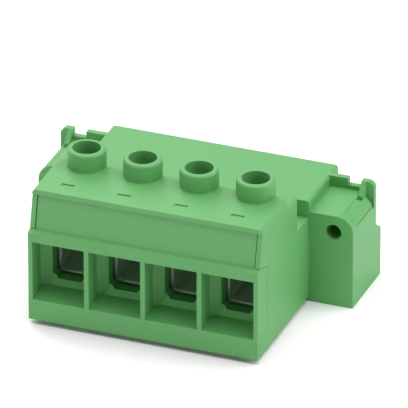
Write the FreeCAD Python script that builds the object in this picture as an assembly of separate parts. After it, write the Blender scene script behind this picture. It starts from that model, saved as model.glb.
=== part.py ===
import FreeCAD, Part
import os
from math import hypot

from FreeCAD import Vector

# A four-pole pluggable terminal block for heavy wire, with a screw flange at each end.
# Millimetres. X runs along the row of poles, Y from the wire side to the mating side, Z up.
# While it is modelled, Y is 0 at the wire side's face. place() then moves every piece so
# that the origin is under the middle of the block.

# Poles
POLE_COUNT = 4
POLE_PITCH = 15.0
POLE_AXIS_Y = 19.7

# Overall body
OVERALL_HEIGHT = 41.3
BODY_MARGIN = 0.5
SOLE = 1.3
SIDE_WALL = 1.25
EDGE_RADIUS = 0.9
OVERCUT = 1.0
TOUCH = 0.01
FIT_GAP = 0.1

# Wire side: the frame part of the front cover
FRAME_HEIGHT = 24.35
FACE_THICKNESS = 1.4
FACE_TOP_RISE = 0.4
WING_DEPTH = 6.8
WING_TOP_DROP = 1.65
WING_FOOT = 5.95
WING_FOOT_SLOPE = 1.35
TUNNEL_WIDTH = 13.75
TUNNEL_SILL = 5.65
TUNNEL_HEIGHT = 16.05
TUNNEL_STRAIGHT = 5.35
TUNNEL_FLOOR_LENGTH = 6.4
TUNNEL_FLOOR_RISE = 1.42
TUNNEL_DEPTH = 7.5
FRAME_FLOOR = 2.0
FRAME_CEILING = 1.4
FRAME_BACK = 1.2
WIRE_HOLE_WIDTH = 8.9
WIRE_HOLE_HEIGHT = 11.4
WIRE_HOLE_SILL = 2.9
WIRE_HOLE_CHAMFER = 1.45
WIRE_HOLE_DEPTH = 3.1
GUIDE_RIM = 1.1

# Upper front: the cover's leaning panel, under a lip
PANEL_LEAN = 2.0
PANEL_THICKNESS = 1.5
PANEL_RECESS = 0.2
PANEL_GAP = 0.2
LIP_HEIGHT = 1.2
LIP_OVERHANG = 0.4
LIP_LEAN = 0.15
TOP_DEPTH = 16.8
TOP_RISE = 0.45
BACK_STEP_DROP = 2.95
BACK_STEP_RUN = 0.9
SHOULDER_DEPTH = 27.4

# Neck between the shoulder and the mating block
NECK_HEIGHT = 22.25
NECK_RELIEF = 0.15
NECK_RELIEF_HEIGHT = 8.0

# Mating block
MATING_FRONT = 36.0
MATING_DEPTH = 21.0
MATING_HEIGHT = 28.1

# Screwdriver collars
COLLAR_RADIUS = 4.95
COLLAR_BORE_RADIUS = 3.6
COLLAR_HEIGHT = 4.65
COLLAR_RIM_RADIUS = 0.7

# Small square-cornered marker pockets on the top
MARK_LENGTH = 3.5
MARK_WIDTH = 1.4
MARK_DEPTH = 0.3
MARK_OFFSET_X = -0.4
MARK_BACK_Y = 8.5

# Clamp: sleeve, screw and the chamber they work in
SLEEVE_INNER_WIDTH = 8.8
SLEEVE_SHEET = 0.9
SLEEVE_LENGTH = 12.4
SLEEVE_BEND_RADIUS = 1.4
SLEEVE_THREAD_WALL = 2.3
SLEEVE_FOOT_GAP = 0.3
SLEEVE_BAR_GAP = 0.3
SLEEVE_STROKE = 8.0
SLEEVE_MOUTH_RADIUS = 0.6
CHAMBER_FLOOR = 6.85
CHAMBER_GAP = 0.2
CHAMBER_HEADROOM = 0.4
SCREW_RADIUS = 3.0
SCREW_THREAD_GAP = 0.05
SCREW_TIP_GAP = 0.1
SCREW_TIP_CHAMFER = 0.6
SCREW_HEAD_GAP = 0.075
SCREW_HEAD_HEIGHT = 3.6
SCREW_HEAD_SEAT = 1.2
SCREW_SEAT_GAP = 0.05
SCREW_SHANK_GAP = 0.1
SCREW_SLOT_WIDTH = 1.2
SCREW_SLOT_DEPTH = 1.7

# Contact: clamp tongue and two spring blades, with a steel spring over them
WIRE_SPACE = 10.05
TONGUE_WIDTH = 8.0
TONGUE_THICKNESS = 1.8
TONGUE_START_GAP = 0.5
BLADE_THICKNESS = 1.3
BLADE_HEIGHT = 7.6
BLADE_ROOT_START = 29.2
BLADE_ROOT_END = 33.0
BLADE_PARALLEL_END = 36.5
BLADE_PINCH_Y = 48.5
BLADE_TIP_Y = 53.0
BLADE_PINCH_GAP = 3.2
BLADE_MOUTH_GAP = 4.8
SPRING_SHEET = 0.6
SPRING_START = 35.0
SPRING_BRIDGE_END = 43.5
SPRING_END = 50.0
SPRING_GAP = 0.1
CONTACT_GAP = 0.2

# Rear chamber and the opening for the mating pin
REAR_CHAMBER_START = 28.2
BACK_WALL = 2.8
PIN_OPENING_WIDTH = 6.6
PIN_OPENING_HEIGHT = 9.6
PIN_OPENING_CHAMFER = 0.8

# Flanges with their lock screws
FLANGE_WIDTH = 11.75
FLANGE_HEIGHT = 25.2
FLANGE_DEPTH = 16.7
FLANGE_CORNER_RADIUS = 4.4
FLANGE_FOOT_DEPTH = 3.5
FLANGE_FOOT_HEIGHT = 15.7
FLANGE_FOOT_SLOPE = 2.4
FLANGE_RIB_THICKNESS = 1.6
FLANGE_RIB_LENGTH = 4.75
FLANGE_LOW_RIB_DROP = 1.8
GUSSET_THICKNESS = 1.3
GUSSET_FOOT = 2.8
EAR_WIDTH = 2.05
EAR_HEIGHT = 28.2
EAR_CORNER_RADIUS = 1.8
EAR_POCKET_DEPTH = 1.0
EAR_POCKET_FLOOR = 21.2
EAR_NOTCH_LENGTH = 1.5
EAR_NOTCH_DEPTH = 1.0
EAR_LINE_LENGTH = 9.0
EAR_LINE_WIDTH = 0.25
EAR_LINE_DEPTH = 0.25
SIDE_LINE_LENGTH = 11.3
SIDE_LINE_Z = 21.8
SIDE_LINE_DEPTH = 0.4

# Captive lock screw, along Y
LOCK_X_FROM_BODY = 6.55
LOCK_Z = 20.7
LOCK_BORE_RADIUS = 2.05
LOCK_BORE_DEPTH = 10.0
LOCK_SEAT_GAP = 0.05
LOCK_HEAD_GAP = 0.075
LOCK_HEAD_LENGTH = 3.0
LOCK_SHOULDER = 3.3
LOCK_NECK_RADIUS = 1.15
LOCK_NECK_GAP = 0.3
LOCK_THREAD_RADIUS = 1.5
LOCK_THREAD_START = 0.1
LOCK_THREAD_LENGTH = 4.0
LOCK_THREAD_GAP = 0.4
LOCK_TIP_CHAMFER = 0.4
LOCK_SLOT_WIDTH = 0.7
LOCK_SLOT_DEPTH = 1.1

# Places worked out from the sizes above
HALF_BODY = POLE_COUNT * POLE_PITCH / 2 + BODY_MARGIN
HALF_INNER = HALF_BODY - SIDE_WALL
BODY_BACK = MATING_FRONT + MATING_DEPTH
FRAME_TOP = SOLE + FRAME_HEIGHT
PANEL_FOOT_Z = FRAME_TOP + FACE_TOP_RISE
TOP_BACK_Z = OVERALL_HEIGHT - COLLAR_HEIGHT
LIP_TOP_Z = TOP_BACK_Z - TOP_RISE
PANEL_TOP_Z = LIP_TOP_Z - LIP_HEIGHT
CHEEK_TOP_Y = FACE_THICKNESS + PANEL_LEAN
LIP_FRONT_Y = CHEEK_TOP_Y - LIP_OVERHANG
TOP_BACK_Y = CHEEK_TOP_Y + TOP_DEPTH
SHOULDER_Y = TOP_BACK_Y + BACK_STEP_RUN
SHOULDER_Z = TOP_BACK_Z - BACK_STEP_DROP
NECK_TOP = SOLE + NECK_HEIGHT
TUNNEL_Z = SOLE + TUNNEL_SILL
TUNNEL_TOP = TUNNEL_Z + TUNNEL_HEIGHT
FRAME_INNER_BACK = TUNNEL_DEPTH + FRAME_BACK
GUIDE_BACK = TUNNEL_DEPTH + WIRE_HOLE_DEPTH
WIRE_HOLE_Z = TUNNEL_Z + WIRE_HOLE_SILL
CHAMBER_Z = SOLE + CHAMBER_FLOOR
SLEEVE_Z = CHAMBER_Z + SLEEVE_FOOT_GAP
SLEEVE_HALF = SLEEVE_INNER_WIDTH / 2 + SLEEVE_SHEET
SLEEVE_FRONT = POLE_AXIS_Y - SLEEVE_LENGTH / 2
SLEEVE_BACK = POLE_AXIS_Y + SLEEVE_LENGTH / 2
SLEEVE_INNER_Z = SLEEVE_Z + SLEEVE_SHEET
TONGUE_Z = SLEEVE_INNER_Z + WIRE_SPACE
TONGUE_TOP = TONGUE_Z + TONGUE_THICKNESS
SLEEVE_WALL_Z = TONGUE_TOP + SLEEVE_BAR_GAP
SLEEVE_TOP = SLEEVE_WALL_Z + SLEEVE_THREAD_WALL
CHAMBER_HALF = SLEEVE_HALF + CHAMBER_GAP
CHAMBER_BACK = SLEEVE_BACK + CHAMBER_GAP
CHAMBER_TOP = SLEEVE_TOP + SLEEVE_STROKE + CHAMBER_HEADROOM
SEAT_TOP = CHAMBER_TOP + SCREW_HEAD_SEAT
BLADE_TOP = TONGUE_Z
BLADE_Z = BLADE_TOP - BLADE_HEIGHT
REAR_CHAMBER_END = BODY_BACK - BACK_WALL
REAR_CHAMBER_Z = BLADE_Z - 2 * CONTACT_GAP
REAR_CHAMBER_TOP = TONGUE_TOP + CONTACT_GAP
FLANGE_BACK = MATING_FRONT + FLANGE_DEPTH
HALF_OVERALL = HALF_BODY + FLANGE_WIDTH
LOCK_X = HALF_BODY + LOCK_X_FROM_BODY
RIB_FRONT = FLANGE_BACK - FLANGE_RIB_THICKNESS
GUSSET_FRONT = RIB_FRONT - GUSSET_FOOT
GUSSET_OUTER = HALF_OVERALL - EAR_WIDTH
GUSSET_INNER = GUSSET_OUTER - GUSSET_THICKNESS
EAR_POCKET_FRONT = RIB_FRONT - EAR_POCKET_DEPTH
EAR_NOTCH_FRONT = GUSSET_FRONT - EAR_NOTCH_LENGTH


def box(x0, x1, y0, y1, z0, z1):
    """A block between three pairs of planes."""
    return Part.makeBox(x1 - x0, y1 - y0, z1 - z0, Vector(x0, y0, z0))


def prism(points, direction):
    """A flat outline, swept straight along a direction."""
    return Part.Face(Part.makePolygon(points + points[:1])).extrude(direction)


def prism_x(outline, x0, x1):
    """A (y, z) outline swept along X."""
    return prism([Vector(x0, y, z) for y, z in outline], Vector(x1 - x0, 0, 0))


def prism_y(outline, y0, y1):
    """An (x, z) outline swept along Y."""
    return prism([Vector(x, y0, z) for x, z in outline], Vector(0, y1 - y0, 0))


def prism_z(outline, z0, z1):
    """An (x, y) outline swept along Z."""
    return prism([Vector(x, y, z0) for x, y in outline], Vector(0, 0, z1 - z0))


def rod_y(radius, x, z, y0, y1):
    """A round rod along Y."""
    return Part.makeCylinder(radius, y1 - y0, Vector(x, y0, z), Vector(0, 1, 0))


def rod_z(radius, x, y, z0, z1):
    """A round rod along Z."""
    return Part.makeCylinder(radius, z1 - z0, Vector(x, y, z0), Vector(0, 0, 1))


def round_edges(shape, radius, chosen):
    """Round the edges whose middle point passes the test."""
    edges = [edge for edge in shape.Edges if chosen(edge.CenterOfMass)]
    return shape.makeFillet(radius, edges)


def bevel_edges(shape, size, chosen):
    """Bevel the edges whose middle point passes the test."""
    edges = [edge for edge in shape.Edges if chosen(edge.CenterOfMass)]
    return shape.makeChamfer(size, edges)


def ribbon(line, thickness, z0, z1):
    """A strip of even thickness that stands on edge along a line of (x, y) points."""
    left = []
    right = []
    for index, (x, y) in enumerate(line):
        before = line[max(index - 1, 0)]
        after = line[min(index + 1, len(line) - 1)]
        along_in = unit(before, (x, y)) if index else unit((x, y), after)
        along_out = unit((x, y), after) if index < len(line) - 1 else along_in
        normal = (-along_in[1] - along_out[1], along_in[0] + along_out[0])
        length = hypot(*normal)
        normal = (normal[0] / length, normal[1] / length)
        spread = thickness / 2 / (normal[0] * -along_in[1] + normal[1] * along_in[0])
        left.append((x + normal[0] * spread, y + normal[1] * spread))
        right.append((x - normal[0] * spread, y - normal[1] * spread))
    return prism_z(left + right[::-1], z0, z1)


def unit(start, end):
    """The direction from one point to another, of length one."""
    length = hypot(end[0] - start[0], end[1] - start[1])
    return ((end[0] - start[0]) / length, (end[1] - start[1]) / length)


def mirrored(shape):
    """The same piece on the other side of the block's middle."""
    return shape.mirror(Vector(0, 0, 0), Vector(1, 0, 0))


def fused(shapes):
    """Several solids joined into one, with no seams left between flush faces."""
    return shapes[0].multiFuse(shapes[1:]).removeSplitter()


def pole_positions():
    """The X place of each pole's axis."""
    first = -(POLE_COUNT - 1) * POLE_PITCH / 2
    return [first + index * POLE_PITCH for index in range(POLE_COUNT)]


def wing_outline(gap):
    """The side of the wire frame that shows as a seam, with a gap kept around it."""
    back = WING_DEPTH + gap
    return [
        (FACE_THICKNESS, SOLE + WING_FOOT - WING_FOOT_SLOPE - gap),
        (FACE_THICKNESS, PANEL_FOOT_Z + gap),
        (back, PANEL_FOOT_Z - WING_TOP_DROP + gap),
        (back, SOLE + WING_FOOT - gap),
    ]


def frame_body(gap):
    """The wire frame before its tunnels are cut, or the room it takes in the housing."""
    face = prism_x(
        [
            (0, SOLE),
            (0, FRAME_TOP),
            (FACE_THICKNESS + gap, PANEL_FOOT_Z + gap),
            (FACE_THICKNESS + gap, SOLE),
        ],
        -HALF_BODY,
        HALF_BODY,
    )
    wings = prism_x(wing_outline(gap), -HALF_BODY, HALF_BODY)
    inner = box(
        -HALF_INNER - gap,
        HALF_INNER + gap,
        FACE_THICKNESS,
        FRAME_INNER_BACK + gap,
        TUNNEL_Z - FRAME_FLOOR - gap,
        TUNNEL_TOP + FRAME_CEILING + gap,
    )
    return fused([face, wings, inner])


def wire_hole_outline(x):
    """Eight-cornered hole that guides the wire into the sleeve."""
    half = WIRE_HOLE_WIDTH / 2
    cut = WIRE_HOLE_CHAMFER
    low = WIRE_HOLE_Z
    high = WIRE_HOLE_Z + WIRE_HOLE_HEIGHT
    return [
        (x - half + cut, low),
        (x + half - cut, low),
        (x + half, low + cut),
        (x + half, high - cut),
        (x + half - cut, high),
        (x - half + cut, high),
        (x - half, high - cut),
        (x - half, low + cut),
    ]


def wire_funnel(x):
    """Square mouth that narrows on all four sides until it meets the eight-cornered hole."""
    reach = WIRE_HOLE_CHAMFER
    hole_top = WIRE_HOLE_Z + WIRE_HOLE_HEIGHT
    floor_slope = TUNNEL_FLOOR_RISE / TUNNEL_FLOOR_LENGTH
    throat_slope = (WIRE_HOLE_SILL - TUNNEL_FLOOR_RISE) / (TUNNEL_DEPTH - TUNNEL_FLOOR_LENGTH)
    side_slope = (TUNNEL_WIDTH - WIRE_HOLE_WIDTH) / 2 / (TUNNEL_DEPTH - TUNNEL_STRAIGHT)
    half = TUNNEL_WIDTH / 2
    narrow = WIRE_HOLE_WIDTH / 2 - side_slope * reach
    upright = [
        (-OVERCUT, TUNNEL_Z - floor_slope * OVERCUT),
        (TUNNEL_FLOOR_LENGTH, TUNNEL_Z + TUNNEL_FLOOR_RISE),
        (TUNNEL_DEPTH + reach, WIRE_HOLE_Z + throat_slope * reach),
        (TUNNEL_DEPTH + reach, hole_top - throat_slope * reach),
        (TUNNEL_DEPTH - (TUNNEL_TOP - hole_top) / throat_slope, TUNNEL_TOP),
        (-OVERCUT, TUNNEL_TOP),
    ]
    level = [
        (x - half, -OVERCUT),
        (x + half, -OVERCUT),
        (x + half, TUNNEL_STRAIGHT),
        (x + narrow, TUNNEL_DEPTH + reach),
        (x - narrow, TUNNEL_DEPTH + reach),
        (x - half, TUNNEL_STRAIGHT),
    ]
    return prism_x(upright, x - half, x + half).common(prism_z(level, 0, OVERALL_HEIGHT))


def make_front_cover():
    """The separate cover on the wire side, with a funnel and a guide hole at each pole."""
    frame = frame_body(0)
    guide_half = CHAMBER_HALF - FIT_GAP
    guides = []
    cuts = []
    for x in pole_positions():
        guides.append(
            box(
                x - guide_half,
                x + guide_half,
                TUNNEL_DEPTH,
                GUIDE_BACK,
                WIRE_HOLE_Z - GUIDE_RIM,
                WIRE_HOLE_Z + WIRE_HOLE_HEIGHT + GUIDE_RIM,
            )
        )
        cuts.append(wire_funnel(x))
        cuts.append(prism_y(wire_hole_outline(x), TUNNEL_DEPTH, GUIDE_BACK + OVERCUT))
    return fused([frame, cover_panel()] + guides).cut(cuts)


def cover_panel():
    """The leaning upper part of the cover, which closes the clamp chambers under the lip."""
    front = FACE_THICKNESS + PANEL_RECESS
    top_front = CHEEK_TOP_Y + PANEL_RECESS
    top = PANEL_TOP_Z - FIT_GAP
    outline = [
        (front, TUNNEL_TOP),
        (front, PANEL_FOOT_Z),
        (top_front, top),
        (top_front + PANEL_THICKNESS, top),
        (front + PANEL_THICKNESS, PANEL_FOOT_Z),
        (front + PANEL_THICKNESS, TUNNEL_TOP),
    ]
    half = HALF_INNER - PANEL_GAP
    return prism_x(outline, -half, half)


def terminal_body():
    """Wire side of the housing, as one solid block with its collars."""
    side = [
        (0, SOLE),
        (0, FRAME_TOP),
        (FACE_THICKNESS, PANEL_FOOT_Z),
        (CHEEK_TOP_Y, PANEL_TOP_Z),
        (LIP_FRONT_Y, PANEL_TOP_Z),
        (LIP_FRONT_Y + LIP_LEAN, LIP_TOP_Z),
        (TOP_BACK_Y, TOP_BACK_Z),
        (SHOULDER_Y, SHOULDER_Z),
        (SHOULDER_DEPTH, SHOULDER_Z),
        (SHOULDER_DEPTH, NECK_TOP),
        (MATING_FRONT + OVERCUT, NECK_TOP),
        (MATING_FRONT + OVERCUT, SOLE),
    ]
    body = prism_x(side, -HALF_BODY, HALF_BODY)
    body = round_edges(
        body,
        EDGE_RADIUS,
        lambda middle: abs(middle.x) > HALF_BODY - TOUCH
        and middle.z > SHOULDER_Z - TOUCH
        and CHEEK_TOP_Y < middle.y < SHOULDER_DEPTH - TOUCH,
    )
    collars = []
    for x in pole_positions():
        collar = rod_z(COLLAR_RADIUS, x, POLE_AXIS_Y, SHOULDER_Z - OVERCUT, OVERALL_HEIGHT)
        collars.append(
            round_edges(collar, COLLAR_RIM_RADIUS, lambda middle: middle.z > OVERALL_HEIGHT - TOUCH)
        )
    return body.multiFuse(collars)


def mating_body():
    """Rear block that goes into the header."""
    block = box(-HALF_BODY, HALF_BODY, MATING_FRONT, BODY_BACK, 0, MATING_HEIGHT)
    return round_edges(
        block,
        EDGE_RADIUS,
        lambda middle: abs(middle.x) > HALF_BODY - TOUCH
        and middle.z > MATING_HEIGHT - TOUCH,
    )


def flange_block():
    """The body of the +X flange, with its top outer corner rounded."""
    block = box(HALF_BODY - OVERCUT, HALF_OVERALL, MATING_FRONT, FLANGE_BACK, 0, FLANGE_HEIGHT)
    return round_edges(
        block,
        FLANGE_CORNER_RADIUS,
        lambda middle: middle.x > HALF_OVERALL - TOUCH and middle.z > FLANGE_HEIGHT - TOUCH,
    )


def flange_foot():
    """The lower part of the flange, which reaches further back."""
    outline = [
        (FLANGE_BACK - OVERCUT, 0),
        (FLANGE_BACK - OVERCUT, FLANGE_FOOT_HEIGHT),
        (FLANGE_BACK, FLANGE_FOOT_HEIGHT),
        (FLANGE_BACK + FLANGE_FOOT_DEPTH, FLANGE_FOOT_HEIGHT - FLANGE_FOOT_SLOPE),
        (FLANGE_BACK + FLANGE_FOOT_DEPTH, 0),
    ]
    return prism_x(outline, HALF_BODY - OVERCUT, HALF_OVERALL)


def flange_ribs():
    """The stepped rib along the flange's rear edge."""
    inner = HALF_BODY - OVERCUT
    high_end = HALF_BODY + FLANGE_RIB_LENGTH
    low_top = MATING_HEIGHT - FLANGE_LOW_RIB_DROP
    high = box(inner, high_end, RIB_FRONT, FLANGE_BACK, 0, MATING_HEIGHT)
    low = box(inner, GUSSET_OUTER, RIB_FRONT, FLANGE_BACK, 0, low_top)
    return [high, low]


def flange_ear():
    """The upright ear at the rear corner, with the gusset that holds it."""
    gusset = prism_x(
        [
            (GUSSET_FRONT, FLANGE_HEIGHT - FLANGE_CORNER_RADIUS),
            (GUSSET_FRONT, FLANGE_HEIGHT),
            (RIB_FRONT, EAR_HEIGHT),
            (FLANGE_BACK, EAR_HEIGHT),
            (FLANGE_BACK, FLANGE_HEIGHT - FLANGE_CORNER_RADIUS),
        ],
        GUSSET_INNER,
        GUSSET_OUTER,
    )
    ear = box(GUSSET_INNER, HALF_OVERALL, RIB_FRONT, FLANGE_BACK, EAR_POCKET_FLOOR, EAR_HEIGHT)
    ear = round_edges(
        ear,
        EAR_CORNER_RADIUS,
        lambda middle: middle.x > HALF_OVERALL - TOUCH and middle.z > EAR_HEIGHT - TOUCH,
    )
    return [gusset, ear]


def flange_cuts():
    """Pocket in front of the ear, and the notch at the gusset's foot."""
    pocket = box(
        GUSSET_OUTER,
        HALF_OVERALL + OVERCUT,
        EAR_POCKET_FRONT,
        FLANGE_BACK + OVERCUT,
        EAR_POCKET_FLOOR,
        EAR_HEIGHT + OVERCUT,
    )
    notch = box(
        GUSSET_INNER,
        GUSSET_OUTER,
        EAR_NOTCH_FRONT,
        GUSSET_FRONT,
        FLANGE_HEIGHT - EAR_NOTCH_DEPTH,
        FLANGE_HEIGHT + OVERCUT,
    )
    return [pocket, notch]


def flange_lines():
    """Two fine lines ahead of the ear, one in the flange's top and one in its side."""
    top_line = box(
        GUSSET_INNER,
        GUSSET_INNER + EAR_LINE_WIDTH,
        EAR_NOTCH_FRONT - EAR_LINE_LENGTH,
        EAR_NOTCH_FRONT + OVERCUT,
        FLANGE_HEIGHT - EAR_LINE_DEPTH,
        FLANGE_HEIGHT + OVERCUT,
    )
    side_line = box(
        HALF_OVERALL - SIDE_LINE_DEPTH,
        HALF_OVERALL + OVERCUT,
        EAR_POCKET_FRONT - SIDE_LINE_LENGTH,
        RIB_FRONT,
        SIDE_LINE_Z,
        SIDE_LINE_Z + EAR_LINE_WIDTH,
    )
    return [top_line, side_line]


def flange():
    """One end flange, on the +X side."""
    block = flange_block().cut(flange_cuts() + flange_lines())
    additions = [flange_foot()] + flange_ribs() + flange_ear()
    return block.multiFuse(additions).cut(lock_bore(LOCK_X))


def lock_bore(x):
    """Stepped bore that holds a captive lock screw."""
    shoulder_front = MATING_FRONT + LOCK_BORE_DEPTH
    shoulder_back = shoulder_front + LOCK_SHOULDER
    access = rod_y(LOCK_BORE_RADIUS, x, LOCK_Z, MATING_FRONT - OVERCUT, shoulder_front)
    waist_radius = LOCK_NECK_RADIUS + LOCK_NECK_GAP
    waist = rod_y(waist_radius, x, LOCK_Z, shoulder_front - OVERCUT, shoulder_back + OVERCUT)
    rear_radius = LOCK_THREAD_RADIUS + LOCK_THREAD_GAP
    rear = rod_y(rear_radius, x, LOCK_Z, shoulder_back, BODY_BACK + OVERCUT)
    return access.multiFuse([waist, rear])


def make_lock_screw(x):
    """A slotted captive screw: head, thin neck and threaded end."""
    head_back = MATING_FRONT + LOCK_BORE_DEPTH - LOCK_SEAT_GAP
    head_front = head_back - LOCK_HEAD_LENGTH
    neck_back = FLANGE_BACK + LOCK_THREAD_START
    head = rod_y(LOCK_BORE_RADIUS - LOCK_HEAD_GAP, x, LOCK_Z, head_front, head_back)
    neck = rod_y(LOCK_NECK_RADIUS, x, LOCK_Z, head_back, neck_back)
    thread = rod_y(LOCK_THREAD_RADIUS, x, LOCK_Z, neck_back, neck_back + LOCK_THREAD_LENGTH)
    tip = neck_back + LOCK_THREAD_LENGTH
    thread = bevel_edges(thread, LOCK_TIP_CHAMFER, lambda middle: middle.y > tip - TOUCH)
    slot = box(
        x - LOCK_SLOT_WIDTH / 2,
        x + LOCK_SLOT_WIDTH / 2,
        head_front - OVERCUT,
        head_front + LOCK_SLOT_DEPTH,
        LOCK_Z - 2 * LOCK_BORE_RADIUS,
        LOCK_Z + 2 * LOCK_BORE_RADIUS,
    )
    return fused([head, neck, thread]).cut(slot)


def clamp_cavity(x):
    """The clamp's chamber at one pole, with the screw's hole and the driver's bore above it."""
    clamp = box(
        x - CHAMBER_HALF,
        x + CHAMBER_HALF,
        FRAME_INNER_BACK - OVERCUT,
        CHAMBER_BACK,
        CHAMBER_Z,
        CHAMBER_TOP,
    )
    behind_panel = prism_x(
        [
            (FACE_THICKNESS, PANEL_FOOT_Z - FRAME_CEILING),
            (FACE_THICKNESS, PANEL_FOOT_Z),
            (CHEEK_TOP_Y, CHAMBER_TOP),
            (CHAMBER_BACK, CHAMBER_TOP),
            (CHAMBER_BACK, PANEL_FOOT_Z - FRAME_CEILING),
        ],
        x - CHAMBER_HALF,
        x + CHAMBER_HALF,
    )
    hole_radius = SCREW_RADIUS + SCREW_SHANK_GAP
    shank_hole = rod_z(hole_radius, x, POLE_AXIS_Y, CHAMBER_TOP - OVERCUT, SEAT_TOP + OVERCUT)
    driver_bore = rod_z(COLLAR_BORE_RADIUS, x, POLE_AXIS_Y, SEAT_TOP, OVERALL_HEIGHT + OVERCUT)
    return [clamp, behind_panel, shank_hole, driver_bore]


def contact_cavity(x):
    """The slot for the contact's tongue, the rear chamber and the pin's opening at one pole."""
    tongue_slot = box(
        x - TONGUE_WIDTH / 2 - CONTACT_GAP,
        x + TONGUE_WIDTH / 2 + CONTACT_GAP,
        CHAMBER_BACK - OVERCUT,
        REAR_CHAMBER_START + OVERCUT,
        TONGUE_Z - CONTACT_GAP,
        TONGUE_TOP + CONTACT_GAP,
    )
    rear = box(
        x - CHAMBER_HALF,
        x + CHAMBER_HALF,
        REAR_CHAMBER_START,
        REAR_CHAMBER_END,
        REAR_CHAMBER_Z,
        REAR_CHAMBER_TOP,
    )
    return [tongue_slot, rear, pin_opening(x)]


def pin_opening(x):
    """Opening in the back wall for the header's pin, with a bevelled lead-in."""
    half = PIN_OPENING_WIDTH / 2
    low = BLADE_Z + BLADE_HEIGHT / 2 - PIN_OPENING_HEIGHT / 2
    high = low + PIN_OPENING_HEIGHT
    straight = box(x - half, x + half, REAR_CHAMBER_END - OVERCUT, BODY_BACK + OVERCUT, low, high)
    cut = PIN_OPENING_CHAMFER
    inside = wire_rectangle(x - half, x + half, low, high, BODY_BACK - cut)
    outside = wire_rectangle(x - half - cut, x + half + cut, low - cut, high + cut, BODY_BACK)
    lead_in = Part.makeLoft([inside, outside], True, True)
    return straight.fuse(lead_in)


def wire_rectangle(x0, x1, z0, z1, y):
    """A rectangle that faces along Y."""
    corners = [Vector(x0, y, z0), Vector(x1, y, z0), Vector(x1, y, z1), Vector(x0, y, z1)]
    return Part.makePolygon(corners + corners[:1])


def marker_pocket(x):
    """Shallow pocket for a pole marker on the top."""
    middle = x + MARK_OFFSET_X
    floor = LIP_TOP_Z + TOP_RISE * (MARK_BACK_Y - CHEEK_TOP_Y) / TOP_DEPTH - MARK_DEPTH
    return box(
        middle - MARK_LENGTH / 2,
        middle + MARK_LENGTH / 2,
        MARK_BACK_Y - MARK_WIDTH,
        MARK_BACK_Y,
        floor,
        LIP_TOP_Z + TOP_RISE + OVERCUT,
    )


def neck_relief():
    """Shallow relief on both sides of the neck, deepest at its top."""
    outline = [
        (HALF_BODY, NECK_TOP - NECK_RELIEF_HEIGHT),
        (HALF_BODY + OVERCUT, NECK_TOP - NECK_RELIEF_HEIGHT),
        (HALF_BODY + OVERCUT, NECK_TOP + OVERCUT),
        (HALF_BODY - NECK_RELIEF, NECK_TOP + OVERCUT),
        (HALF_BODY - NECK_RELIEF, NECK_TOP),
    ]
    outer = prism_y(outline, SHOULDER_DEPTH, MATING_FRONT)
    return [outer, mirrored(outer)]


def panel_recess():
    """Room for the cover's leaning panel and for the open face above it."""
    back = FACE_THICKNESS + PANEL_RECESS + PANEL_THICKNESS + FIT_GAP
    outline = [
        (-OVERCUT, TUNNEL_TOP),
        (back, TUNNEL_TOP),
        (back, PANEL_FOOT_Z),
        (back + PANEL_LEAN, PANEL_TOP_Z),
        (-OVERCUT, PANEL_TOP_Z),
    ]
    return prism_x(outline, -HALF_INNER, HALF_INNER)


def make_housing():
    """The main moulding: clamp chambers, collars, neck, mating block and both flanges."""
    end = flange()
    solid = fused([terminal_body(), mating_body(), end, mirrored(end)])
    cuts = [frame_body(FIT_GAP), panel_recess()] + neck_relief()
    for x in pole_positions():
        cuts.extend(clamp_cavity(x) + contact_cavity(x))
        cuts.append(marker_pocket(x))
    return solid.cut(cuts)


def sleeve_window(x):
    """The sleeve's inside, with its two lower corners rounded."""
    half = SLEEVE_INNER_WIDTH / 2
    front = SLEEVE_FRONT - OVERCUT
    window = box(x - half, x + half, front, SLEEVE_BACK + OVERCUT, SLEEVE_INNER_Z, SLEEVE_WALL_Z)
    return round_edges(
        window,
        SLEEVE_BEND_RADIUS - SLEEVE_SHEET,
        lambda middle: abs(middle.x - x) > half - TOUCH
        and abs(middle.y - POLE_AXIS_Y) < TOUCH
        and middle.z < SLEEVE_INNER_Z + TOUCH,
    )


def make_sleeve(x):
    """Folded steel sleeve with a threaded top and a rounded edge round its mouth."""
    outer = box(x - SLEEVE_HALF, x + SLEEVE_HALF, SLEEVE_FRONT, SLEEVE_BACK, SLEEVE_Z, SLEEVE_TOP)
    outer = round_edges(
        outer,
        SLEEVE_BEND_RADIUS,
        lambda middle: abs(middle.x - x) > SLEEVE_HALF - TOUCH
        and abs(middle.y - POLE_AXIS_Y) < TOUCH
        and (middle.z < SLEEVE_Z + TOUCH or middle.z > SLEEVE_TOP - TOUCH),
    )
    half = SLEEVE_INNER_WIDTH / 2
    hole_radius = SCREW_RADIUS + SCREW_THREAD_GAP
    hole = rod_z(hole_radius, x, POLE_AXIS_Y, SLEEVE_WALL_Z - OVERCUT, SLEEVE_TOP + OVERCUT)
    lap = box(
        x - SLEEVE_HALF - OVERCUT,
        x - half,
        SLEEVE_FRONT - OVERCUT,
        SLEEVE_BACK + OVERCUT,
        SLEEVE_WALL_Z + SLEEVE_SHEET,
        SLEEVE_TOP + OVERCUT,
    )
    return round_edges(
        outer.cut([sleeve_window(x), hole, lap]),
        SLEEVE_MOUTH_RADIUS,
        lambda middle: middle.y < SLEEVE_FRONT + TOUCH
        and abs(middle.x - x) < half + TOUCH
        and SLEEVE_INNER_Z - TOUCH < middle.z < SLEEVE_WALL_Z - TOUCH,
    )


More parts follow.
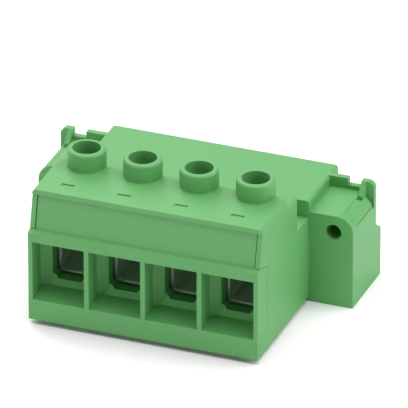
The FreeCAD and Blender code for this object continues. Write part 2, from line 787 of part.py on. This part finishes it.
def make_clamp_screw(x):
    """Slotted clamp screw that stands on the contact's tongue."""
    tip = TONGUE_TOP + SCREW_TIP_GAP
    head_z = SEAT_TOP + SCREW_SEAT_GAP
    head_top = head_z + SCREW_HEAD_HEIGHT
    shank = rod_z(SCREW_RADIUS, x, POLE_AXIS_Y, tip, head_z)
    shank = bevel_edges(shank, SCREW_TIP_CHAMFER, lambda middle: middle.z < tip + TOUCH)
    head_radius = COLLAR_BORE_RADIUS - SCREW_HEAD_GAP
    head = rod_z(head_radius, x, POLE_AXIS_Y, head_z, head_top)
    slot = box(
        x - 2 * head_radius,
        x + 2 * head_radius,
        POLE_AXIS_Y - SCREW_SLOT_WIDTH / 2,
        POLE_AXIS_Y + SCREW_SLOT_WIDTH / 2,
        head_top - SCREW_SLOT_DEPTH,
        head_top + OVERCUT,
    )
    return fused([shank, head]).cut(slot)


def blade_line(x, side, offset):
    """Plan view of one spring blade's middle line, moved outwards by an offset."""
    root = TONGUE_WIDTH / 2 - BLADE_THICKNESS / 2 + offset
    pinch = BLADE_PINCH_GAP / 2 + BLADE_THICKNESS / 2 + offset
    mouth = BLADE_MOUTH_GAP / 2 + BLADE_THICKNESS / 2 + offset
    return [
        (x + side * root, BLADE_ROOT_START),
        (x + side * root, BLADE_PARALLEL_END),
        (x + side * pinch, BLADE_PINCH_Y),
        (x + side * mouth, BLADE_TIP_Y),
    ]


def make_contact(x):
    """Copper contact: the tongue in the clamp and two blades that grip the pin."""
    half = TONGUE_WIDTH / 2
    start = SLEEVE_FRONT + TONGUE_START_GAP
    tongue = box(x - half, x + half, start, BLADE_ROOT_END, TONGUE_Z, TONGUE_TOP)
    pieces = [tongue]
    for side in (-1, 1):
        pieces.append(ribbon(blade_line(x, side, 0), BLADE_THICKNESS, BLADE_Z, BLADE_TOP))
    return fused(pieces)


def spring_line(x, side):
    """Plan view of one arm of the steel spring, just outside the blade."""
    offset = BLADE_THICKNESS / 2 + SPRING_GAP + SPRING_SHEET / 2
    line = blade_line(x, side, offset)
    run = (SPRING_END - BLADE_PINCH_Y) / (BLADE_TIP_Y - BLADE_PINCH_Y)
    end_x = line[2][0] + (line[3][0] - line[2][0]) * run
    return [(line[0][0], SPRING_START), line[1], line[2], (end_x, SPRING_END)]


def make_contact_spring(x):
    """Steel spring that presses the two blades together."""
    top = BLADE_TOP + SPRING_GAP
    half = TONGUE_WIDTH / 2 + SPRING_GAP + SPRING_SHEET
    bridge_outline = [
        (x - half, SPRING_START),
        (x + half, SPRING_START),
        (x + half, BLADE_PARALLEL_END),
        (x + half - SPRING_SHEET, SPRING_BRIDGE_END),
        (x - half + SPRING_SHEET, SPRING_BRIDGE_END),
        (x - half, BLADE_PARALLEL_END),
    ]
    pieces = [prism_z(bridge_outline, top, top + SPRING_SHEET)]
    low = BLADE_Z + SPRING_SHEET
    for side in (-1, 1):
        pieces.append(ribbon(spring_line(x, side), SPRING_SHEET, low, top + SPRING_SHEET))
    return fused(pieces)


def place(shape):
    """Move a piece so that the origin is under the middle of the block."""
    moved = shape.copy()
    moved.translate(Vector(0, -BODY_BACK / 2, 0))
    return moved


def save(name, shape):
    """Write one piece to its own file."""
    piece = place(shape)
    if piece.ShapeType == "Compound" and len(piece.Solids) == 1:
        piece = piece.Solids[0]
    box_size = piece.BoundBox
    print(
        name,
        "solids", len(piece.Solids),
        "valid", piece.isValid(),
        "volume", round(piece.Volume, 1),
        "size", [round(v, 2) for v in (box_size.XLength, box_size.YLength, box_size.ZLength)],
    )
    piece.exportStep(os.path.join("parts", name + ".step"))


os.makedirs("parts", exist_ok=True)
save("housing", make_housing())
save("front_cover", make_front_cover())
for number, pole_x in enumerate(pole_positions(), start=1):
    save(f"tension_sleeve_{number}", make_sleeve(pole_x))
    save(f"clamp_screw_{number}", make_clamp_screw(pole_x))
    save(f"contact_{number}", make_contact(pole_x))
    save(f"contact_spring_{number}", make_contact_spring(pole_x))
save("lock_screw_left", make_lock_screw(-LOCK_X))
save("lock_screw_right", make_lock_screw(LOCK_X))
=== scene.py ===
"""The look of a pluggable terminal block.

Its finishes, its threaded screws, the studio and the camera.
"""

import logging
import math
from dataclasses import dataclass, field
from enum import Enum, IntEnum
from typing import Iterable, Sequence

import bmesh
import bpy
from mathutils import Matrix, Vector

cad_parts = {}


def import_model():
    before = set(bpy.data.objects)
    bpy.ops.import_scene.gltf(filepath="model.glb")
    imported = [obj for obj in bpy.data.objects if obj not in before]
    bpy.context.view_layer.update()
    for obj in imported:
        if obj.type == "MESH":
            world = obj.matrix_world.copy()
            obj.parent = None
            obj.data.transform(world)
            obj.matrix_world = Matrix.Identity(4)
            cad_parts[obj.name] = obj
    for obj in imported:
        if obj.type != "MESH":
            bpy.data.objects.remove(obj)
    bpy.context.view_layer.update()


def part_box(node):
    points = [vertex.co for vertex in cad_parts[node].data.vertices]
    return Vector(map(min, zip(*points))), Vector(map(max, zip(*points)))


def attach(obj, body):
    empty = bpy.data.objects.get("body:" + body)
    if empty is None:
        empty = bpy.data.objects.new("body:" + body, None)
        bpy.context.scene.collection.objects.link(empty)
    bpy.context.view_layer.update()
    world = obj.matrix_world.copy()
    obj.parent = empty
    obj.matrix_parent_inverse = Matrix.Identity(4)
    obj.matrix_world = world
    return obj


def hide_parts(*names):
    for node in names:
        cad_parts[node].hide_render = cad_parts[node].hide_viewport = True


LOG = logging.getLogger("terminal_block")
MM = 0.001
POLES = (1, 2, 3, 4)

Colour = tuple[float, float, float]
Point = tuple[float, float, float]


class Axis(Enum):
    """Directions a screw can point in, from its head to its tip."""

    DOWN = (0.0, 0.0, -1.0)
    BACK = (0.0, 1.0, 0.0)

    def placing(self, head: Vector) -> Matrix:
        """The matrix that points a downward screw this way, from its head's place."""
        turn = Vector(Axis.DOWN.value).rotation_difference(Vector(self.value))
        return Matrix.Translation(head) @ turn.to_matrix().to_4x4()


class Side(Enum):
    """The two ends of the block."""

    LEFT = "left"
    RIGHT = "right"


class Ray(Enum):
    """Kinds of ray that can meet a surface or the surroundings."""

    CAMERA = "Is Camera Ray"
    MIRRORED = "Is Glossy Ray"
    THROUGH_GLASS = "Is Transmission Ray"


class Maths(Enum):
    """What a maths node can do with two values."""

    ADD = "ADD"
    TAKE_AWAY = "SUBTRACT"
    MULTIPLY = "MULTIPLY"


class MixSocket(IntEnum):
    """Places of a mix node's colour sockets, which share their names with others."""

    FACTOR = 0
    FIRST = 6
    SECOND = 7
    RESULT = 2


class Socket:
    """One output of a shader node, which can be used in sums like a number."""

    def __init__(
        self, sheet: "NodeSheet", output: bpy.types.NodeSocket | None
    ) -> None:
        """Keep the output and the sheet it belongs to."""
        self.sheet = sheet
        self.output = output

    def __add__(self, other: "Value") -> "Socket":
        """Add a value."""
        return self.sheet.maths(Maths.ADD, self, other)

    def __radd__(self, other: "Value") -> "Socket":
        """Add to a value."""
        return self.sheet.maths(Maths.ADD, other, self)

    def __sub__(self, other: "Value") -> "Socket":
        """Take a value away."""
        return self.sheet.maths(Maths.TAKE_AWAY, self, other)

    def __rsub__(self, other: "Value") -> "Socket":
        """Take away from a value."""
        return self.sheet.maths(Maths.TAKE_AWAY, other, self)

    def __mul__(self, other: "Value") -> "Socket":
        """Multiply by a value."""
        return self.sheet.maths(Maths.MULTIPLY, self, other)

    def __rmul__(self, other: "Value") -> "Socket":
        """Multiply a value."""
        return self.sheet.maths(Maths.MULTIPLY, other, self)


Value = Socket | float | tuple[float, ...]


def opaque(colour: Colour) -> tuple[float, ...]:
    """A colour with full cover, as the nodes take it."""
    return (*colour, 1.0)


class NodeSheet:
    """The shader nodes of one material or of the world."""

    def __init__(self, tree: bpy.types.NodeTree) -> None:
        """Start on an empty tree."""
        self.tree = tree
        tree.nodes.clear()

    def node(
        self,
        kind: str,
        settings: dict[str, object] | None = None,
        sockets: dict[str | int, Value] | None = None,
        output: str | int = 0,
    ) -> Socket:
        """Add a node.

        Args:
            kind: The node's type.
            settings: The node's own settings, set before its sockets.
            sockets: Values or links for its inputs, by name or place.
            output: The output to hand back, by name or place.

        Returns:
            The chosen output, or an empty socket where the node has none.
        """
        made = self.tree.nodes.new(kind)
        for name, setting in (settings or {}).items():
            setattr(made, name, setting)
        for key, value in (sockets or {}).items():
            if isinstance(value, Socket):
                self.tree.links.new(value.output, made.inputs[key])
            else:
                made.inputs[key].default_value = value
        return Socket(self, made.outputs[output] if made.outputs else None)

    def maths(self, operation: Maths, first: Value, second: Value) -> Socket:
        """Join two values with one maths node.

        Args:
            operation: What the node does.
            first: The left-hand value.
            second: The right-hand value.

        Returns:
            The result.
        """
        return self.node(
            "ShaderNodeMath", {"operation": operation.value}, {0: first, 1: second}
        )

    def place(self) -> Socket:
        """The place on the piece, in metres, that a pattern is laid by."""
        return self.node("ShaderNodeTexCoord", output="Object")

    def ray(self, kind: Ray) -> Socket:
        """1 for rays of this kind, and 0 for others."""
        return self.node("ShaderNodeLightPath", output=kind.value)

    def noise(self, where: Socket, scale: float, detail: float = 3.0) -> Socket:
        """Soft noise between 0 and 1.

        Args:
            where: The coordinates to lay it by.
            scale: Blotches per metre.
            detail: How many finer layers it has.

        Returns:
            The noise's height.
        """
        return self.node(
            "ShaderNodeTexNoise",
            sockets={"Vector": where, "Scale": scale, "Detail": detail},
        )

    def mix(self, factor: Value, first: Colour, second: Colour) -> Socket:
        """Mix two colours.

        Args:
            factor: Share of the second colour.
            first: The first colour.
            second: The second colour.

        Returns:
            The mixed colour.
        """
        return self.node(
            "ShaderNodeMix",
            {"data_type": "RGBA"},
            {
                MixSocket.FACTOR: factor,
                MixSocket.FIRST: opaque(first),
                MixSocket.SECOND: opaque(second),
            },
            MixSocket.RESULT,
        )

    def bump(self, height: Socket, distance: float, strength: float) -> Socket:
        """Tilt the surface by a height.

        Args:
            height: The height.
            distance: How tall a height of 1 is, in metres.
            strength: Share of the tilt that is kept.

        Returns:
            The tilted normal.
        """
        return self.node(
            "ShaderNodeBump",
            sockets={"Height": height, "Distance": distance, "Strength": strength},
        )


@dataclass(frozen=True)
class Finish:
    """A finish that any piece can wear."""

    name: str
    colour: Colour
    roughness: float

    def material(self) -> bpy.types.Material:
        """Make the material of this finish, or find it where it is already made.

        Returns:
            The material.
        """
        found = bpy.data.materials.get(self.name)
        if found:
            return found
        made = bpy.data.materials.new(self.name)
        made.use_nodes = True
        sheet = NodeSheet(made.node_tree)
        sheet.node("ShaderNodeOutputMaterial", sockets={"Surface": self.shader(sheet)})
        return made

    def shader(self, sheet: NodeSheet) -> Socket:
        """The shader of this finish, which each kind of finish draws its own way."""
        raise NotImplementedError(self.name)

    def wear(self, piece: bpy.types.Object) -> bpy.types.Object:
        """Put this finish on a piece.

        Args:
            piece: The piece.

        Returns:
            The same piece.
        """
        piece.data.materials.clear()
        piece.data.materials.append(self.material())
        return piece


@dataclass(frozen=True)
class MouldedPlastic(Finish):
    """Coloured plastic out of a finely eroded mould.

    Scales are in blotches per metre, and heights in metres. A tilt is the share of
    the bump that is kept.
    """

    shade: Colour
    cloud_scale: float = 90.0
    grain_scale: float = 5200.0
    grain_detail: float = 2.0
    grain_height: float = 0.000012
    grain_tilt: float = 0.5
    grain_roughness: float = 0.08
    refraction: float = 1.5
    shine: float = 0.4

    def shader(self, sheet: NodeSheet) -> Socket:
        """Draw a satin surface with faint clouds of colour and a fine grain.

        Args:
            sheet: Where it is drawn.

        Returns:
            The shader.
        """
        cloud = sheet.noise(sheet.place(), self.cloud_scale)
        grain = sheet.noise(sheet.place(), self.grain_scale, self.grain_detail)
        return sheet.node(
            "ShaderNodeBsdfPrincipled",
            sockets={
                "Base Color": sheet.mix(cloud, self.colour, self.shade),
                "Roughness": self.roughness + self.grain_roughness * grain,
                "IOR": self.refraction,
                "Specular IOR Level": self.shine,
                "Normal": sheet.bump(grain, self.grain_height, self.grain_tilt),
            },
        )


@dataclass(frozen=True)
class Metal(Finish):
    """Bare or plated metal with the marks of how it was made.

    stretch says how much more often the marks come along each axis. Scales, heights
    and the tilt are as in moulded plastic.
    """

    dull: Colour
    stretch: Point
    mark_scale: float = 900.0
    mark_detail: float = 4.0
    mark_height: float = 0.00001
    mark_tilt: float = 0.4
    mark_roughness: float = 0.12
    stain_scale: float = 160.0

    def shader(self, sheet: NodeSheet) -> Socket:
        """Draw metal whose colour and roughness follow its rolling or turning marks.

        Args:
            sheet: Where it is drawn.

        Returns:
            The shader.
        """
        along = sheet.node(
            "ShaderNodeMapping",
            sockets={"Vector": sheet.place(), "Scale": self.stretch},
        )
        marks = sheet.noise(along, self.mark_scale, self.mark_detail)
        stain = sheet.noise(sheet.place(), self.stain_scale)
        bright = 1.0 - stain * marks
        return sheet.node(
            "ShaderNodeBsdfPrincipled",
            sockets={
                "Base Color": sheet.mix(bright, self.dull, self.colour),
                "Roughness": self.roughness + self.mark_roughness * marks,
                "Metallic": 1.0,
                "Normal": sheet.bump(marks, self.mark_height, self.mark_tilt),
            },
        )


@dataclass(frozen=True)
class Paper(Finish):
    """Pale matte paper, a shade whiter to the camera than to the object."""

    seen_colour: Colour

    def shader(self, sheet: NodeSheet) -> Socket:
        """Draw a matte surface with one colour for the camera and one for other light.

        Args:
            sheet: Where it is drawn.

        Returns:
            The shader.
        """
        colour = sheet.mix(sheet.ray(Ray.CAMERA), self.colour, self.seen_colour)
        return sheet.node(
            "ShaderNodeBsdfDiffuse",
            sockets={"Color": colour, "Roughness": self.roughness},
        )


HOUSING_PLASTIC = MouldedPlastic(
    "green_housing_plastic",
    colour=(0.122, 0.388, 0.123),
    roughness=0.42,
    shade=(0.115, 0.372, 0.116),
)
COVER_PLASTIC = MouldedPlastic(
    "green_cover_plastic",
    colour=(0.121, 0.385, 0.122),
    roughness=0.42,
    shade=(0.114, 0.369, 0.115),
)
# The green lean of colour and dull is a painted reflection. It stands in for the green
# plastic round the sleeve mirrored in its grey steel.
SLEEVE_STEEL = Metal(
    "plated_sleeve_steel_painted_green_reflection",
    colour=(0.66, 0.75, 0.66),
    roughness=0.56,
    dull=(0.54, 0.62, 0.54),
    stretch=(1.0, 6.0, 6.0),
)
SCREW_STEEL = Metal(
    "plated_screw_steel",
    colour=(0.43, 0.43, 0.42),
    roughness=0.44,
    dull=(0.32, 0.32, 0.31),
    stretch=(1.0, 1.0, 8.0),
)
TINNED_COPPER = Metal(
    "tinned_copper",
    colour=(0.74, 0.72, 0.67),
    roughness=0.32,
    dull=(0.60, 0.56, 0.49),
    stretch=(6.0, 1.0, 6.0),
)
SPRING_STEEL = Metal(
    "rolled_spring_steel",
    colour=(0.56, 0.56, 0.58),
    roughness=0.28,
    dull=(0.44, 0.44, 0.47),
    stretch=(8.0, 1.0, 8.0),
)
# seen_colour is whiter than white for the camera only. Its pink lean is a painted
# correction that cancels the green light the object bounces into its shadow on the
# floor.
WHITE_PAPER = Paper(
    "studio_paper",
    colour=(0.94, 0.94, 0.94),
    roughness=0.0,
    seen_colour=(1.11, 1.04, 1.10),
)


class MeshDraft:
    """Points and faces of one piece, in millimetres, while it is drawn up."""

    def __init__(self) -> None:
        """Start with nothing drawn."""
        self.mesh = bmesh.new()

    def ring(self, points: Iterable[Point]) -> list[bmesh.types.BMVert]:
        """Add a ring of points."""
        return [self.mesh.verts.new(point) for point in points]

    def face(self, corners: Sequence[bmesh.types.BMVert]) -> None:
        """Add one face."""
        self.mesh.faces.new(corners)

    def skin(
        self, low: Sequence[bmesh.types.BMVert], high: Sequence[bmesh.types.BMVert]
    ) -> None:
        """Join two rings of the same length all the way round.

        Args:
            low: The first ring.
            high: The second ring.
        """
        count = len(low)
        for index in range(count):
            after = (index + 1) % count
            self.face([low[index], low[after], high[after], high[index]])

    def finish(self, name: str, placing: Matrix) -> bpy.types.Object:
        """Turn the drawing into a piece in metres.

        Args:
            name: The piece's name.
            placing: Where the piece goes.

        Returns:
            The new piece.
        """
        bmesh.ops.recalc_face_normals(self.mesh, faces=self.mesh.faces)
        self.mesh.transform(Matrix.Scale(MM, 4))
        data = bpy.data.meshes.new(name)
        self.mesh.to_mesh(data)
        self.mesh.free()
        piece = bpy.data.objects.new(name, data)
        piece.matrix_world = placing
        bpy.context.scene.collection.objects.link(piece)
        return piece


@dataclass(frozen=True)
class EdgeRounding:
    """The small rounding, in millimetres, that a mould or a press leaves on edges.

    Edges are sharp from an angle, in degrees. weld_reach joins the corners of
    neighbouring faces first, and flatness keeps large faces flat in their shading.
    """

    radius: float
    segments: int = 2
    sharp_from: float = 28.0
    weld_reach: float = 0.002
    flatness: int = 80

    def soften(self, piece: bpy.types.Object) -> bpy.types.Object:
        """Round the sharp edges of a piece and shade it smoothly.

        Args:
            piece: The piece.

        Returns:
            The same piece.
        """
        weld = piece.modifiers.new("joined faces", "WELD")
        weld.merge_threshold = self.weld_reach * MM
        bevel = piece.modifiers.new("edge rounding", "BEVEL")
        bevel.width = self.radius * MM
        bevel.segments = self.segments
        bevel.limit_method = "ANGLE"
        bevel.angle_limit = math.radians(self.sharp_from)
        bevel.miter_outer = "MITER_ARC"
        for face in piece.data.polygons:
            face.use_smooth = True
        normals = piece.modifiers.new("flat faces stay flat", "WEIGHTED_NORMAL")
        normals.weight = self.flatness
        return piece


def dress(
    node: str, finish: Finish, rounding: EdgeRounding
) -> bpy.types.Object:
    """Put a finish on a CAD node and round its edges."""
    return rounding.soften(finish.wear(bpy.data.objects[node]))


@dataclass(frozen=True)
class ScrewShape:
    """Sizes of a slotted screw, in millimetres, and the profile of its thread.

    rim and tip_bevel are the bevels round the head and at the tip. tip_crest is the
    share of the thread's height that is left at the tip. root_share and flank_share
    are parts of half a pitch, and the rest of it is the flat crest.
    """

    head_height: float
    slot_width: float
    slot_depth: float
    stem_radius: float
    pitch: float
    thread_depth: float
    neck_length: float = 0.0
    neck_radius: float = 0.0
    rim: float = 0.25
    tip_bevel: float = 0.3
    tip_crest: float = 0.15
    root_share: float = 0.12
    flank_share: float = 0.72

    @property
    def core_radius(self) -> float:
        """Radius at the bottom of the thread."""
        return self.stem_radius - self.thread_depth

    def thread_height(self, phase: float) -> float:
        """Height of the thread at a place along one pitch, both from 0 to 1."""
        from_root = abs(phase - 0.5) * 2.0
        return min(1.0, max(0.0, (from_root - self.root_share) / self.flank_share))


@dataclass
class ThreadedScrew:
    """A slotted screw with a real thread, as long and as wide as its plain CAD node.

    Edges stay sharp in the shading from an angle, in degrees.
    """

    node: str
    body: str
    axis: Axis
    shape: ScrewShape
    steps_round: int = 48
    steps_per_turn: int = 8
    sharp_from: float = 32.0
    length: float = field(init=False)
    head_radius: float = field(init=False)
    head: Vector = field(init=False)

    def __post_init__(self) -> None:
        """Measure the CAD node: its length, its radius and where its head's face is."""
        low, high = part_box(self.node)
        along = Vector(self.axis.value)
        self.length = abs((high - low).dot(along)) / MM
        self.head_radius = (high - low).x / 2 / MM
        self.head = (low + high) / 2 - along * (self.length / 2 * MM)

    def build(self) -> bpy.types.Object:
        """Draw the screw and put it in the place of its CAD node.

        Returns:
            The finished screw.
        """
        draft = MeshDraft()
        self._stem(draft, self._head(draft))
        screw = draft.finish(f"{self.node}_threaded", self.axis.placing(self.head))
        SCREW_STEEL.wear(screw)
        for face in screw.data.polygons:
            face.use_smooth = True
        screw.data.set_sharp_from_angle(angle=math.radians(self.sharp_from))
        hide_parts(self.node)
        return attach(screw, self.body)

    def _turns(self) -> list[float]:
        """Angles of the points round the screw, with one on each edge of the slot.

        Returns:
            The angles of one half, then those of the other. The last one of each half
            is in the middle of the slot.
        """
        crown_radius = self.head_radius - self.shape.rim
        edge = math.asin(self.shape.slot_width / 2 / crown_radius)
        arc = self.steps_round // 2 - 2
        turns = [edge + (math.pi - 2 * edge) * step / arc for step in range(arc + 1)]
        turns.append(math.pi)
        return turns + [turn + math.pi for turn in turns]

    def _circle(self, radius: float, depth: float) -> list[Point]:
        """Points of a level circle.

        Args:
            radius: The circle's radius.
            depth: Depth below the top of the head.

        Returns:
            The points.
        """
        return [
            (radius * math.cos(turn), radius * math.sin(turn), -depth)
            for turn in self._turns()
        ]

    def _head(self, draft: MeshDraft) -> list[bmesh.types.BMVert]:
        """Draw the slotted head.

        Args:
            draft: Where it is drawn.

        Returns:
            The ring at the underside of the head.
        """
        shape = self.shape
        floor = draft.ring(self._circle(self.head_radius, shape.slot_depth))
        draft.face(floor)
        half = len(floor) // 2
        for start in (0, half):
            self._head_half(draft, floor, range(start, start + half - 1))
        side_depth = shape.head_height - shape.rim
        side = draft.ring(self._circle(self.head_radius, side_depth))
        under_radius = self.head_radius - shape.rim
        under = draft.ring(self._circle(under_radius, shape.head_height))
        draft.skin(floor, side)
        draft.skin(side, under)
        return under

    def _head_half(
        self, draft: MeshDraft, floor: Sequence[bmesh.types.BMVert], place: range
    ) -> None:
        """Draw the part of the head on one side of the slot, and the slot's wall there.

        Args:
            draft: Where it is drawn.
            floor: The ring at the depth of the slot.
            place: Which points of the ring this side has.
        """
        crown_points = self._circle(self.head_radius - self.shape.rim, 0.0)
        edge_points = self._circle(self.head_radius, self.shape.rim)
        crown = draft.ring(crown_points[index] for index in place)
        edge = draft.ring(edge_points[index] for index in place)
        foot = [floor[index] for index in place]
        draft.face(crown)
        for step in range(len(place) - 1):
            draft.face([edge[step], edge[step + 1], crown[step + 1], crown[step]])
            draft.face([foot[step], foot[step + 1], edge[step + 1], edge[step]])
        draft.face([foot[-1], foot[0], edge[0], crown[0], crown[-1], edge[-1]])

    def _stem(self, draft: MeshDraft, under: list[bmesh.types.BMVert]) -> None:
        """Draw everything below the head.

        Args:
            draft: Where it is drawn.
            under: The ring at the underside of the head.
        """
        shape = self.shape
        ring = under
        start = shape.head_height + shape.neck_length
        if shape.neck_length:
            for depth in (shape.head_height, start):
                after = draft.ring(self._circle(shape.neck_radius, depth))
                draft.skin(ring, after)
                ring = after
        end = self.length - shape.tip_bevel
        count = int((end - start) * self.steps_per_turn / shape.pitch)
        for index in range(count + 1):
            depth = start + (end - start) * index / count
            after = draft.ring(self._thread(depth, end))
            draft.skin(ring, after)
            ring = after
        tip_radius = shape.core_radius - shape.tip_bevel
        tip = draft.ring(self._circle(tip_radius, self.length))
        draft.skin(ring, tip)
        draft.face(tip)

    def _thread(self, depth: float, end: float) -> list[Point]:
        """Points round the thread, which runs out at the tip.

        Args:
            depth: Depth below the top of the head.
            end: Depth at which the thread ends.

        Returns:
            The points.
        """
        shape = self.shape
        pitches_left = (end - depth) / shape.pitch
        crest = shape.thread_depth * min(1.0, pitches_left + shape.tip_crest)
        points = []
        for turn in self._turns():
            phase = (depth / shape.pitch + turn / math.tau) % 1.0
            radius = shape.core_radius + crest * shape.thread_height(phase)
            points.append((radius * math.cos(turn), radius * math.sin(turn), -depth))
        return points


@dataclass
class Housing:
    """The main moulding."""

    rounding: EdgeRounding = EdgeRounding(0.18)

    def build(self) -> list[bpy.types.Object]:
        """Give the moulding its plastic and its slightly rounded edges."""
        return [dress("housing", HOUSING_PLASTIC, self.rounding)]


@dataclass
class FrontCover:
    """The cover with the wire funnels and the leaning panel."""

    rounding: EdgeRounding = EdgeRounding(0.18)

    def build(self) -> list[bpy.types.Object]:
        """Give the cover its plastic and its slightly rounded edges."""
        return [dress("front_cover", COVER_PLASTIC, self.rounding)]


@dataclass
class ClampPole:
    """The metal pieces at one pole."""

    number: int
    rounding: EdgeRounding = EdgeRounding(0.12)
    screw: ScrewShape = ScrewShape(
        head_height=3.6,
        slot_width=1.2,
        slot_depth=1.7,
        stem_radius=2.98,
        pitch=1.0,
        thread_depth=0.56,
    )

    def build(self) -> list[bpy.types.Object]:
        """Finish the sleeve, the contact and its spring, and draw the screw.

        Returns:
            The four pieces.
        """
        pressed = [
            ("tension_sleeve", SLEEVE_STEEL, "sleeve_steel"),
            ("contact", TINNED_COPPER, "contact_copper"),
            ("contact_spring", SPRING_STEEL, "spring_steel"),
        ]
        pieces = [
            dress(f"{node}_{self.number}", finish, self.rounding)
            for node, finish, slot in pressed
        ]
        node, body = f"clamp_screw_{self.number}", f"screw_{self.number}"
        screw = ThreadedScrew(node, body, Axis.DOWN, self.screw)
        return [*pieces, screw.build()]


@dataclass
class FlangeLock:
    """The captive screw in one flange."""

    side: Side
    screw: ScrewShape = ScrewShape(
        head_height=3.0,
        slot_width=0.7,
        slot_depth=1.1,
        stem_radius=1.49,
        pitch=0.5,
        thread_depth=0.3,
        neck_length=6.85,
        neck_radius=1.14,
    )

    def build(self) -> list[bpy.types.Object]:
        """Draw the screw."""
        node, body = f"lock_screw_{self.side.value}", f"lock_{self.side.value}"
        return [ThreadedScrew(node, body, Axis.BACK, self.screw).build()]


@dataclass(frozen=True)
class Lamp:
    """A soft square studio lamp that points at the object, with sizes in metres."""

    name: str
    place: Point
    size: float
    level: float
    target: Point = (0.0, 0.0, 0.015)

    def hang(self) -> None:
        """Put the lamp up, with the power that gives its level of light."""
        aim = Vector(self.target) - Vector(self.place)
        light = bpy.data.lights.new(self.name, "AREA")
        light.size = self.size
        light.energy = self.level * math.pi**2 * aim.length_squared
        lamp = bpy.data.objects.new(self.name, light)
        lamp.location = self.place
        lamp.rotation_euler = aim.to_track_quat("-Z", "Y").to_euler()
        bpy.context.scene.collection.objects.link(lamp)


@dataclass
class Studio:
    """White surroundings with soft lamps, over a floor of white paper.

    The floor is in millimetres, as all drafts are.
    """

    floor_half: float = 3000.0
    white: Colour = (1.0, 1.0, 1.0)
    mirrored_strength: float = 0.3
    lamps: tuple[Lamp, ...] = (
        Lamp("top_lamp", (0.0, 0.0, 1.5), 1.4, 0.83),
        Lamp("back_right_lamp", (0.8, 0.8, 1.0), 1.4, 0.21),
        Lamp("back_left_lamp", (-0.9, 0.9, 1.0), 1.2, 0.50),
        Lamp("left_lamp", (-1.3, -0.3, 0.7), 0.9, 0.17),
        Lamp("right_lamp", (1.1, 0.1, 1.0), 1.2, 0.41),
        Lamp("low_right_lamp", (1.4, -0.4, 0.25), 0.8, 0.22),
        Lamp("low_front_lamp", (-0.3, -1.5, 0.25), 0.6, 0.22),
    )

    def build(self) -> None:
        """Lay the floor, set the surroundings and hang the lamps."""
        self._lay_floor()
        self._surround()
        for lamp in self.lamps:
            lamp.hang()

    def _lay_floor(self) -> None:
        """Draw one square of paper under the object."""
        half = self.floor_half
        around = ((-half, -half), (half, -half), (half, half), (-half, half))
        draft = MeshDraft()
        draft.face(draft.ring((x, y, 0.0) for x, y in around))
        floor = draft.finish("studio_floor", Matrix.Identity(4))
        WHITE_PAPER.wear(floor)

    def _surround(self) -> None:
        """Show white to the camera and through glass, and a softer white to gloss."""
        world = bpy.data.worlds.new("studio_white")
        bpy.context.scene.world = world
        world.use_nodes = True
        sheet = NodeSheet(world.node_tree)
        seen = sheet.ray(Ray.CAMERA) + sheet.ray(Ray.THROUGH_GLASS)
        mirrored = self.mirrored_strength * sheet.ray(Ray.MIRRORED)
        background = sheet.node(
            "ShaderNodeBackground",
            sockets={"Color": opaque(self.white), "Strength": seen + mirrored},
        )
        sheet.node("ShaderNodeOutputWorld", sockets={"Surface": background})


@dataclass
class PhotoCamera:
    """The camera that took the photograph, as solved from it.

    Places are in metres, turns in degrees, and the lens and its sensor in millimetres.
    """

    aim: Point = (0.00361, 0.0045, 0.02377)
    azimuth: float = 21.089
    elevation: float = 27.860
    distance: float = 2.2902
    focal_length: float = 808.7
    sensor: float = 36.0
    far_limit: float = 20.0

    def build(self) -> None:
        """Place the camera and make it the scene's own."""
        turn = math.radians(self.azimuth)
        rise = math.radians(self.elevation)
        level = math.cos(rise)
        ahead = Vector(
            (-math.sin(turn) * level, math.cos(turn) * level, -math.sin(rise))
        )
        data = bpy.data.cameras.new("photo_camera")
        data.lens = self.focal_length
        data.sensor_width = self.sensor
        data.clip_end = self.far_limit
        camera = bpy.data.objects.new("photo_camera", data)
        camera.location = Vector(self.aim) - ahead * self.distance
        camera.rotation_euler = ahead.to_track_quat("-Z", "Y").to_euler()
        bpy.context.scene.collection.objects.link(camera)
        bpy.context.scene.camera = camera


def main() -> None:
    """Build the look of the block, sub-assembly by sub-assembly, then the studio."""
    logging.basicConfig(level=logging.INFO, format="%(name)s: %(message)s")
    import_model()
    bpy.context.scene.view_settings.view_transform = "Standard"
    poles = [ClampPole(number) for number in POLES]
    locks = [FlangeLock(side) for side in Side]
    for assembly in (Housing(), FrontCover(), *poles, *locks):
        for piece in assembly.build():
            LOG.info("%s wears %s", piece.name, piece.active_material.name)
    Studio().build()
    PhotoCamera().build()


if __name__ == "__main__":
    main()
